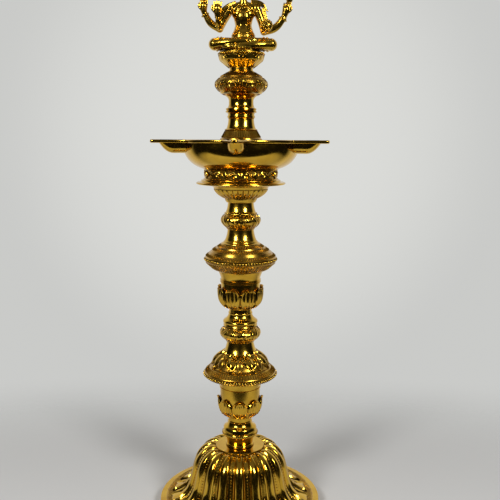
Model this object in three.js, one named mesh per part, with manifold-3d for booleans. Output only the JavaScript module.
// Brass standing oil lamp: a gadrooned foot, a column of turned pieces on threaded rods, a bowl with
// five wick spouts, and a finial with a four-armed seated figure.
// Millimetres, +Z up. The origin is the centre of the foot, on the floor. The front faces -Y.

import * as THREE from "three";
import { mergeVertices } from "three/addons/utils/BufferGeometryUtils.js";
import Module from "manifold-3d";

const wasm = await Module();
wasm.setup();

// ---- driving dimensions ----

// Height of each turned piece, from the floor up. Each stands on the one before it.
const FOOT_HEIGHT = 73;
const COLLAR_HEIGHT = 35;
const LOWER_CUP_HEIGHT = 46;
const LOWER_DISC_HEIGHT = 44;
const LOWER_KNOP_HEIGHT = 38;
const UPPER_CUP_HEIGHT = 44;
const UPPER_DISC_HEIGHT = 46.5;
const UPPER_KNOP_HEIGHT = 30;
const SEAT_HEIGHT = 25.5;
const BAND_HEIGHT = 12;
const BOWL_HEIGHT = 32;
const STEM_HEIGHT = 77.5;
const TOP_KNOP_HEIGHT = 25.5;
const LOTUS_HEIGHT = 16.5;

const COLLAR_Z = FOOT_HEIGHT;
const LOWER_CUP_Z = COLLAR_Z + COLLAR_HEIGHT;
const LOWER_DISC_Z = LOWER_CUP_Z + LOWER_CUP_HEIGHT;
const LOWER_KNOP_Z = LOWER_DISC_Z + LOWER_DISC_HEIGHT;
const UPPER_CUP_Z = LOWER_KNOP_Z + LOWER_KNOP_HEIGHT;
const UPPER_DISC_Z = UPPER_CUP_Z + UPPER_CUP_HEIGHT;
const UPPER_KNOP_Z = UPPER_DISC_Z + UPPER_DISC_HEIGHT;
const SEAT_Z = UPPER_KNOP_Z + UPPER_KNOP_HEIGHT;
const BAND_Z = SEAT_Z + SEAT_HEIGHT;
const BOWL_Z = BAND_Z + BAND_HEIGHT;
const BOWL_FLOOR = 4;
const STEM_Z = BOWL_Z + BOWL_FLOOR;
const TOP_KNOP_Z = STEM_Z + STEM_HEIGHT;
const LOTUS_Z = TOP_KNOP_Z + TOP_KNOP_HEIGHT;
const FIGURE_Z = LOTUS_Z + LOTUS_HEIGHT;

// Threaded rods: M12 through the columns, M8 under the figure. A bore clears its rod all round.
const ROD_RADIUS = 6;
const SMALL_ROD_RADIUS = 4;
const CLEARANCE = 0.3;
const BORE = ROD_RADIUS + CLEARANCE;
const SMALL_BORE = SMALL_ROD_RADIUS + CLEARANCE;
const SOCKET_DEPTH = 14;
const WEB = 2;

// The washer and nut clamp the lower column from under the foot's top.
const WASHER_TOP = 65;
const WASHER_THICKNESS = 2;
const NUT_THICKNESS = 10;

const FLANGE_RADIUS = 93;
const LOBES = 18;
const SPOUTS = 5;
const FRONT_SPOUT_TURN = THREE.MathUtils.degToRad(-93);
const SPOUT_TIP = 99.5;
const PETALS = 8;

// ---- materials ----

function brass(roughness) {
  return new THREE.MeshStandardMaterial({ color: 0xc9962f, roughness, metalness: 1 });
}

function steel() {
  return new THREE.MeshStandardMaterial({ color: 0x8f9296, roughness: 0.4, metalness: 1 });
}

// ---- shape helpers ----

/** Outline in a plane: [x, y] runs straight to a point, [control x, control y, x, y] curves to it. */
function outline(steps, curveSteps = 2) {
  const path = new THREE.Path();
  path.moveTo(...steps[0]);
  for (const step of steps.slice(1)) {
    if (step.length === 2) path.lineTo(...step);
    else path.quadraticCurveTo(...step);
  }
  return path.getPoints(curveSteps);
}

/** Solid of revolution about +Z. Its steps are radius and height, up the outside from the base. */
function turned(steps, segments = 24, curveSteps = 2) {
  const geometry = new THREE.LatheGeometry(outline(steps, curveSteps), segments);
  return geometry.rotateX(Math.PI / 2);
}

/** Plain round pin that cuts a bore between two heights. */
function pin(low, high) {
  return turned([[0, low], [BORE, low], [BORE, high], [0, high]]);
}

/** Turned piece with a bore right through it. Its cavity widens the bore, listed from the top down. */
function bored(steps, height, cavity, segments = 24) {
  return turned([[BORE, 0], ...steps, [BORE, height], ...cavity, [BORE, 0]], segments);
}

/** Turned piece with a blind socket in its top and another, of given depth, in its base. */
function socketed(steps, height, lowDepth, topBore = BORE) {
  const low = [[0, lowDepth], [BORE, lowDepth], [BORE, 0]];
  const top = [[topBore, height], [topBore, height - SOCKET_DEPTH], [0, height - SOCKET_DEPTH]];
  return turned([...low, ...steps, ...top]);
}

/** Moves every vertex of a turned geometry; change takes and gives radius, angle and height. */
function reshape(geometry, change) {
  const position = geometry.attributes.position;
  for (let i = 0; i < position.count; i += 1) {
    const angle = Math.atan2(position.getY(i), position.getX(i));
    const distance = Math.hypot(position.getX(i), position.getY(i));
    const [radius, turn, height] = change(distance, angle, position.getZ(i));
    position.setXYZ(i, radius * Math.cos(turn), radius * Math.sin(turn), height);
  }
  return geometry;
}

function toSolid(geometry) {
  const bare = geometry.clone();
  bare.deleteAttribute("normal");
  bare.deleteAttribute("uv");
  const merged = mergeVertices(bare, 1e-3);
  const corners = merged.index.array;
  const kept = [];
  for (let i = 0; i < corners.length; i += 3) {
    const [a, b, c] = corners.slice(i, i + 3);
    if (a !== b && b !== c && c !== a) kept.push(a, b, c);
  }
  const vertProperties = new Float32Array(merged.attributes.position.array);
  return new wasm.Manifold(new wasm.Mesh({ numProp: 3, vertProperties, triVerts: Uint32Array.from(kept) }));
}

function toGeometry(solid) {
  const mesh = solid.getMesh();
  const geometry = new THREE.BufferGeometry();
  geometry.setAttribute("position", new THREE.BufferAttribute(mesh.vertProperties, 3));
  geometry.setIndex(new THREE.BufferAttribute(mesh.triVerts, 1));
  geometry.computeVertexNormals();
  return geometry;
}

function joined(geometries) {
  return geometries.map(toSolid).reduce((whole, next) => whole.add(next));
}

function place(name, geometry, material, z) {
  const mesh = new THREE.Mesh(geometry, material);
  mesh.name = name;
  mesh.position.z = z;
  return mesh;
}

// ---- foot ----

/** How far a point of the lobed wall stands out: 1 on a lobe's crest, 0 in the rib between two lobes. */
function lobe(angle) {
  return Math.abs(Math.sin((LOBES * angle) / 2));
}

function footBell() {
  const discRadius = 29.5;
  const lobeDepth = 0.07;
  const outside = [
    [0, 0], [FLANGE_RADIUS - 0.5, 0], [FLANGE_RADIUS, 0.8], [FLANGE_RADIUS, 9.6],
    [FLANGE_RADIUS - 1.4, 11], [74, 11], [73, 13], [61, 15, 57.3, 29], [55.6, 44], [53, 56],
    [49, 69, 36.5, FOOT_HEIGHT], [discRadius, FOOT_HEIGHT - 1], [discRadius, FOOT_HEIGHT], [0, FOOT_HEIGHT],
  ];
  const hollow = [
    [0, -1], [86, -1], [85, 2], [70, 7], [54, 18], [50, 40], [46, 56], [34, WASHER_TOP], [0, WASHER_TOP],
  ];
  const wall = reshape(turned(outside, LOBES * 4), (radius, angle, height) => {
    const onWall = height > 12 && height < 72 && radius > 38;
    const sunk = onWall ? lobeDepth * (1 - lobe(angle)) : 0;
    return [radius * (1 - sunk), angle, height];
  });
  const hole = toSolid(pin(WASHER_TOP - 1, FOOT_HEIGHT + 1));
  return toGeometry(toSolid(wall).subtract(toSolid(turned(hollow, 36))).subtract(hole));
}

function footWasher() {
  return turned([[BORE, 0], [13, 0], [13, WASHER_THICKNESS], [BORE, WASHER_THICKNESS], [BORE, 0]], 24);
}

function footNut() {
  const sides = 6;
  const acrossCorners = 11;
  const body = toSolid(new THREE.CylinderGeometry(acrossCorners, acrossCorners, NUT_THICKNESS, sides));
  const hole = toSolid(new THREE.CylinderGeometry(BORE, BORE, NUT_THICKNESS + 2, 24));
  return toGeometry(body.subtract(hole)).rotateX(Math.PI / 2).translate(0, 0, NUT_THICKNESS / 2);
}

/** Threaded rod of plain outer diameter, with chamfered ends. */
function rod(length, radius = ROD_RADIUS) {
  const chamfer = 1;
  const steps = [
    [0, 0], [radius - chamfer, 0], [radius, chamfer], [radius, length - chamfer],
    [radius - chamfer, length], [0, length],
  ];
  return turned(steps, 12);
}

// ---- column ----

function collar() {
  const steps = [
    [15.6, 0], [17, 1.4, 15.8, 2.8], [15.8, 9, 18.4, 13.2], [20.4, 14], [20, 17], [19.1, 18.5],
    [18.5, 23.2], [14.4, 26, 13.2, 29], [13, COLLAR_HEIGHT],
  ];
  const cavity = [[BORE, 29], [10, 26], [14.8, 21], [14.8, 15], [12, 9], [BORE, 5]];
  return bored(steps, COLLAR_HEIGHT, cavity);
}

/** Cup of petals around a plain drum. The petals' tips stand proud, with a gap behind them. */
function petalCup(belly, tipHeight, drumRadius, height, neckRadius) {
  const gap = 1.3;
  const steps = [
    [neckRadius, 0], [neckRadius + 1.6, 2], [belly - 2, 8, belly - 0.5, tipHeight * 0.7], [belly, tipHeight],
    [belly - gap, tipHeight],
    [drumRadius - 1, tipHeight - 4], [drumRadius - 0.6, tipHeight + 3], [drumRadius, height - 6],
    [drumRadius + 0.8, height],
  ];
  const cavity = [[BORE, height - 4], [drumRadius - 4, height - 5], [21, 18], [19, 11], [BORE, 4]];
  const tipDrop = 3;
  return reshape(bored(steps, height, cavity), (radius, angle, z) => {
    const onTip = Math.abs(z - tipHeight) < 0.1;
    return [radius, angle, onTip ? z - tipDrop * (1 - Math.abs(Math.sin((PETALS * angle) / 2))) : z];
  });
}

function lowerDripDisc() {
  const steps = [
    [25.6, 0], [38, 1.6, 42.2, 4.2], [44.6, 5.8, 42.6, 7.6], [36, 12.6, 33.3, 15], [30.8, 18, 30.4, 20.4],
    [29, 24.6, 24, 27.6], [17, 33, 15.4, 38], [15.4, LOWER_DISC_HEIGHT],
  ];
  const cavity = [[BORE, 36], [12, 33], [20, 25], [26.6, 19.6], [35, 7], [24, 4], [BORE, 3.5]];
  return bored(steps, LOWER_DISC_HEIGHT, cavity);
}

function lowerKnop() {
  const steps = [
    [15.6, 0], [17.8, 3], [24.2, 6.4, 24.4, 10.6], [24, 14, 18.6, 17.2], [18.3, 20.4],
    [19.8, 23.2, 18.5, 25.6], [14.4, 28.4, 12.9, 33], [12.9, LOWER_KNOP_HEIGHT],
  ];
  return socketed(steps, LOWER_KNOP_HEIGHT, LOWER_KNOP_HEIGHT - SOCKET_DEPTH - WEB);
}

function upperDripDisc() {
  const steps = [
    [26, 0], [30.5, 2], [37.5, 6.6, 41.4, 11], [42.6, 13.4, 41, 15.4], [36, 20, 32, 23.4],
    [24, 29.5, 17.4, 34.8], [15, 37.2, 14.9, 41], [14.9, UPPER_DISC_HEIGHT],
  ];
  const cavity = [[BORE, 40], [11.4, 37], [14, 32], [28, 21], [36.4, 12.6], [25, 4.4], [BORE, 3.5]];
  return bored(steps, UPPER_DISC_HEIGHT, cavity);
}

function upperKnop() {
  const steps = [
    [14.9, 0], [15.8, 1.8], [22.8, 6.8, 23.3, 11], [22.8, 14.6, 18.4, 17.2], [17.9, 18.8], [14.7, 20.6],
    [14.7, UPPER_KNOP_HEIGHT],
  ];
  return socketed(steps, UPPER_KNOP_HEIGHT, UPPER_KNOP_HEIGHT - SOCKET_DEPTH - WEB);
}

// ---- bowl ----

function bowlSeat() {
  const rim = 49.3;
  const steps = [
    [15.3, 0], [17.4, 1.8], [18.7, 5.6], [27.6, 10, 30, 15.6], [31.3, 17.6],
    [38, 19.6, rim - 1.6, 20.2], [rim, 21], [rim, 22.2], [46, 23.8], [42, SEAT_HEIGHT],
  ];
  const cavity = [[BORE, 21.5], [27, 21.5], [23, 11], [14, 6], [BORE, 4]];
  return bored(steps, SEAT_HEIGHT, cavity, 32);
}

const BAND_RADIUS = 41.3;

function scrollBand() {
  const wall = 5;
  const inner = BAND_RADIUS - wall;
  const steps = [[inner, 0], [BAND_RADIUS, 0], [BAND_RADIUS, BAND_HEIGHT], [inner, BAND_HEIGHT], [inner, 0]];
  return turned(steps, 32);
}

const BOWL_WALL = 63;
const BOSS_RADIUS = 14;
const BOSS_TOP = 13;
const LIP = 4.6;
const LIP_OVERHANG = 3.5;
const HAIR = 0.01;

/** Shape pushed straight up along +Z. */
function plate(shape, depth) {
  return new THREE.ExtrudeGeometry(shape, { depth, bevelEnabled: false, curveSegments: 3 });
}

/** Section across a spout, or its channel: a letter U of given half width between two heights. */
function troughSection(halfWidth, floor, top) {
  const shape = new THREE.Shape();
  shape.moveTo(-halfWidth, top);
  shape.lineTo(-halfWidth, floor + halfWidth);
  shape.absarc(0, floor + halfWidth, halfWidth, Math.PI, 0, false);
  shape.lineTo(halfWidth, top);
  return shape;
}

/** Spout, or its channel, along +X: the U section, ended by a curve that rises to the lip. */
function trough(halfWidth, floor, flatEnd, end) {
  const start = 40;
  const section = troughSection(halfWidth, floor, BOWL_HEIGHT);
  const along = plate(section, end - start);
  along.rotateX(Math.PI / 2).rotateZ(Math.PI / 2).translate(start, 0, 0);
  const side = new THREE.Shape();
  side.moveTo(start, floor - 1);
  side.lineTo(flatEnd, floor - 1);
  side.quadraticCurveTo(end - 2, floor + 1, end, BOWL_HEIGHT - LIP);
  side.lineTo(end, BOWL_HEIGHT + 1);
  side.lineTo(start, BOWL_HEIGHT + 1);
  const depth = halfWidth * 2 + 2;
  const across = plate(side, depth);
  across.translate(0, 0, -depth / 2).rotateX(Math.PI / 2);
  return toSolid(along).intersect(toSolid(across));
}

/** The flat lip's outline: a circle with a pointed tongue over each spout. */
function lipShape() {
  const circle = BOWL_WALL + LIP_OVERHANG;
  const tipRound = 4;
  const rootTurn = 0.24;
  const shape = new THREE.Shape();
  for (let k = 0; k < SPOUTS; k += 1) {
    const turn = FRONT_SPOUT_TURN + (k * 2 * Math.PI) / SPOUTS;
    const at = (along, across) => [
      along * Math.cos(turn) - across * Math.sin(turn),
      along * Math.sin(turn) + across * Math.cos(turn),
    ];
    const root = [circle * Math.cos(rootTurn), circle * Math.sin(rootTurn)];
    if (k === 0) shape.moveTo(...at(root[0], -root[1]));
    shape.quadraticCurveTo(...at(74, -10.5), ...at(84, -8.5));
    shape.lineTo(...at(SPOUT_TIP - tipRound, -tipRound));
    shape.quadraticCurveTo(...at(SPOUT_TIP + 0.6, -tipRound + 0.4), ...at(SPOUT_TIP, 0));
    shape.quadraticCurveTo(...at(SPOUT_TIP + 0.6, tipRound - 0.4), ...at(SPOUT_TIP - tipRound, tipRound));
    shape.lineTo(...at(84, 8.5));
    shape.quadraticCurveTo(...at(74, 10.5), ...at(root[0], root[1]));
    const nextRoot = turn + (2 * Math.PI) / SPOUTS - rootTurn;
    shape.absarc(0, 0, circle, turn + rootTurn, nextRoot, false);
  }
  return shape;
}

function oilBowl() {
  const outside = [
    [0, -BAND_HEIGHT], [BOSS_RADIUS, -BAND_HEIGHT], [BOSS_RADIUS, 0], [42.5, 0], [53, 3, 58.4, 10.4],
    [62.4, 15.6, BOWL_WALL, 22], [BOWL_WALL, BOWL_HEIGHT], [0, BOWL_HEIGHT],
  ];
  const hollow = [
    [0, BOWL_FLOOR], [41, BOWL_FLOOR], [52, 6.4, 56.2, 12.6], [59.8, 18, 60, 24], [60, BOWL_HEIGHT + 1],
    [0, BOWL_HEIGHT + 1],
  ];
  const boss = [
    [0, 1], [BOSS_RADIUS, 1], [BOSS_RADIUS, BOSS_TOP - 1], [BOSS_RADIUS - 1, BOSS_TOP], [0, BOSS_TOP],
  ];
  const lip = plate(lipShape(), LIP).translate(0, 0, BOWL_HEIGHT - LIP);

  let body = toSolid(turned(outside, 40)).add(toSolid(lip));
  let space = toSolid(turned(hollow, 40));
  for (let k = 0; k < SPOUTS; k += 1) {
    const turn = THREE.MathUtils.radToDeg(FRONT_SPOUT_TURN) + (k * 360) / SPOUTS;
    body = body.add(trough(9, 16.6, 75, 89.6).rotate([0, 0, turn]));
    space = space.add(trough(6.4, 19.2, 73, 86.6).translate([0, 0, HAIR]).rotate([0, 0, turn]));
  }
  const lowSocket = toSolid(pin(-BAND_HEIGHT - 1, -WEB));
  const topSocket = toSolid(pin(WEB / 2, BOSS_TOP + 1));
  const whole = body.subtract(space).add(toSolid(turned(boss, 24)));
  return toGeometry(whole.subtract(lowSocket).subtract(topSocket));
}

// ---- finial ----

function bowlStem() {
  const hood = BOSS_RADIUS + CLEARANCE;
  const steps = [
    [hood, 0], [26, 0], [26, 2], [22.7, 8, 22.6, 29], [20, 32.4, 19.2, 34.4], [17.2, 36.6],
    [14.1, 42, 14, 50.6], [15, 52.6], [15, 55], [19, 58.5, 14.9, 62], [13.5, 65],
    [13.8, 71.5, 17.4, 74], [22.9, STEM_HEIGHT], [BORE, STEM_HEIGHT], [BORE, 66], [10.4, 62],
    [10.4, 46], [13.4, 37], [18.6, 30], [20.4, 5], [hood, 3], [hood, 0],
  ];
  return turned(steps);
}

function topKnop() {
  const lowDepth = TOP_KNOP_HEIGHT - SOCKET_DEPTH - WEB;
  const steps = [
    [22.9, 0], [28.8, 3.4, 29.4, 8.8], [28.2, 10], [28, 13.4, 24.6, 15.2], [19, 18.4, 14.4, 21.4],
    [12.7, 22.8], [12.7, TOP_KNOP_HEIGHT],
  ];
  return socketed(steps, TOP_KNOP_HEIGHT, lowDepth, SMALL_BORE);
}

function lotusSeat() {
  const depth = 13;
  const steps = [
    [0, depth], [SMALL_BORE, depth], [SMALL_BORE, 0], [13.2, 0], [20.6, 5], [26, 9.2, 25.8, 15],
    [24.4, LOTUS_HEIGHT], [0, LOTUS_HEIGHT],
  ];
  return turned(steps);
}

// The figure sits a little to the right of the lamp's own axis.
const FIGURE_SHIFT = 2;

/** Limb of round section along a smooth line through its points, with a ball at each end. */
function limb(points, radius) {
  const path = new THREE.CatmullRomCurve3(points.map((point) => new THREE.Vector3(...point)));
  const section = new THREE.Shape().absarc(0, 0, radius, 0, 2 * Math.PI, false);
  const options = { steps: points.length, extrudePath: path, bevelEnabled: false, curveSegments: 3 };
  const tube = new THREE.ExtrudeGeometry(section, options);
  const ends = [points[0], points.at(-1)].map((point) => {
    return new THREE.SphereGeometry(radius * 1.02, 6, 4).rotateX(Math.PI / 2).translate(...point);
  });
  return [tube, ...ends];
}

function ball(radius, scale, centre) {
  return new THREE.SphereGeometry(radius, 8, 6).rotateX(Math.PI / 2).scale(...scale).translate(...centre);
}

/** Points of one side's arms and knee. The two sides differ, as the figure is not quite even. */
const LEFT_SIDE = {
  side: -1, knee: -28.5, outerHand: [-40.8, 3, 47.5], wrist: [-38.6, 3, 41], elbow: [-23, 25],
  forearm: [-33, 30], frontHand: [-23.5, -8, 41], palm: [0.8, 0.6, 1.5], frontRise: 5, ankleRise: -0.6,
};
const RIGHT_SIDE = {
  side: 1, knee: 32, outerHand: [48.6, 3, 46.5], wrist: [47, 3, 38.5], elbow: [27.5, 23],
  forearm: [38.6, 27], frontHand: [27.5, -9, 29], palm: [1, 1, 1], frontRise: 0, ankleRise: 0.6,
};

function figureSide(points) {
  const { side, knee, outerHand, wrist, elbow, forearm, frontHand, palm, frontRise, ankleRise } = points;
  const [elbowX, elbowZ] = elbow;
  const shoulder = [FIGURE_SHIFT + 15.5 * side, 1, 47];
  const upperArm = [FIGURE_SHIFT + 19 * side, 2, 35];
  return [
    ...limb([[FIGURE_SHIFT + 8 * side, 4, 8], [22 * side, 1, 8.2], [knee, -4, 8.2]], 7.2),
    ...limb([[knee, -6, 7.8], [12 * side, -15, 6.6], [-9 * side, -17, 6.4 + ankleRise]], 5.2),
    ...limb([shoulder, upperArm, [elbowX, 1, elbowZ]], 4),
    ...limb([[elbowX, 2, elbowZ], [forearm[0], 3, forearm[1]], wrist], 4),
    ...limb([[elbowX, 0, elbowZ], [elbowX, -6, 28 + frontRise], [frontHand[0], -8, 30 + frontRise]], 3.4),
    ball(4.6, [0.9, 0.6, 1.4], outerHand),
    ball(5, palm, frontHand),
    ball(3.6, [1, 1, 1.5], [outerHand[0], outerHand[1], outerHand[2] + 9]),
  ];
}

function seatedFigure() {
  const crownTop = 92.5;
  const torso = turned([
    [0, 2], [15, 2], [15, 12], [13.6, 19], [8.6, 27], [9.4, 33], [14.5, 40, 15.2, 45], [12, 50, 5, 52],
    [0, 52.5],
  ], 12).scale(1, 0.72, 1);
  const neck = turned([[0, 50], [4.4, 50], [4.2, 57.5], [0, 57.5]], 12);
  const crown = turned([
    [0, 64], [7, 64], [7.8, 66.5], [6.6, 70], [7, 73], [5.2, 77], [5.4, 80], [3.4, 84], [2.4, crownTop - 3],
    [0, crownTop],
  ], 10);
  const head = ball(6.4, [0.86, 0.95, 1.12], [0, -0.6, 61]);
  const cushion = turned([[0, 0], [20, 0], [20, 3], [0, 3]], 20).scale(1.25, 0.95, 1).translate(0, -1, 0);
  const upright = [torso, neck, head, crown].map((geometry) => geometry.translate(FIGURE_SHIFT, 0, 0));
  return toGeometry(joined([cushion, ...upright, ...figureSide(LEFT_SIDE), ...figureSide(RIGHT_SIDE)]));
}

// ---- assembly ----

const polished = brass(0.16);
const cast = brass(0.28);
const plated = steel();
const washerZ = WASHER_TOP - WASHER_THICKNESS;
const nutZ = washerZ - NUT_THICKNESS;
const rodOverhang = 4;
const END_GAP = 0.5;
const lowerRodZ = nutZ - rodOverhang;
const lowerRodTop = UPPER_CUP_Z - SOCKET_DEPTH - WEB - END_GAP;
const upperRodZ = UPPER_CUP_Z - SOCKET_DEPTH + END_GAP;
const upperRodTop = SEAT_Z - SOCKET_DEPTH - WEB - END_GAP;
const bowlStudZ = SEAT_Z - SOCKET_DEPTH + END_GAP;
const bowlStudTop = BOWL_Z - WEB - END_GAP;
const stemRodZ = BOWL_Z + WEB / 2 + END_GAP;
const stemRodTop = LOTUS_Z - SOCKET_DEPTH - WEB - END_GAP;
const figureStudZ = LOTUS_Z - SOCKET_DEPTH + END_GAP;
const figureStudLength = 26;

const foot = new THREE.Group();
foot.add(
  place("foot_bell", footBell(), polished, 0),
  place("foot_washer", footWasher(), plated, washerZ),
  place("foot_nut", footNut(), plated, nutZ),
);

const lowerColumn = new THREE.Group();
lowerColumn.add(
  place("lower_tie_rod", rod(lowerRodTop - lowerRodZ), plated, lowerRodZ),
  place("collar", collar(), polished, COLLAR_Z),
  place("lower_petal_cup", petalCup(26.2, 23.5, 24.8, LOWER_CUP_HEIGHT, 12.8), polished, LOWER_CUP_Z),
  place("lower_drip_disc", lowerDripDisc(), polished, LOWER_DISC_Z),
  place("lower_knop", lowerKnop(), polished, LOWER_KNOP_Z),
);

const upperColumn = new THREE.Group();
upperColumn.add(
  place("upper_tie_rod", rod(upperRodTop - upperRodZ), plated, upperRodZ),
  place("upper_petal_cup", petalCup(26.2, 25.5, 24.8, UPPER_CUP_HEIGHT, 12.8), polished, UPPER_CUP_Z),
  place("upper_drip_disc", upperDripDisc(), polished, UPPER_DISC_Z),
  place("upper_knop", upperKnop(), polished, UPPER_KNOP_Z),
);

const bowl = new THREE.Group();
bowl.add(
  place("bowl_stud", rod(bowlStudTop - bowlStudZ), plated, bowlStudZ),
  place("bowl_seat", bowlSeat(), polished, SEAT_Z),
  place("scroll_band", scrollBand(), polished, BAND_Z),
  place("oil_bowl", oilBowl(), polished, BOWL_Z),
);

const finial = new THREE.Group();
finial.add(
  place("stem_rod", rod(stemRodTop - stemRodZ), plated, stemRodZ),
  place("bowl_stem", bowlStem(), polished, STEM_Z),
  place("top_knop", topKnop(), polished, TOP_KNOP_Z),
  place("figure_stud", rod(figureStudLength, SMALL_ROD_RADIUS), plated, figureStudZ),
  place("lotus_seat", lotusSeat(), cast, LOTUS_Z),
  place("seated_figure", seatedFigure(), cast, FIGURE_Z),
);

const lamp = new THREE.Group();
lamp.add(foot, lowerColumn, upperColumn, bowl, finial);

export default lamp;
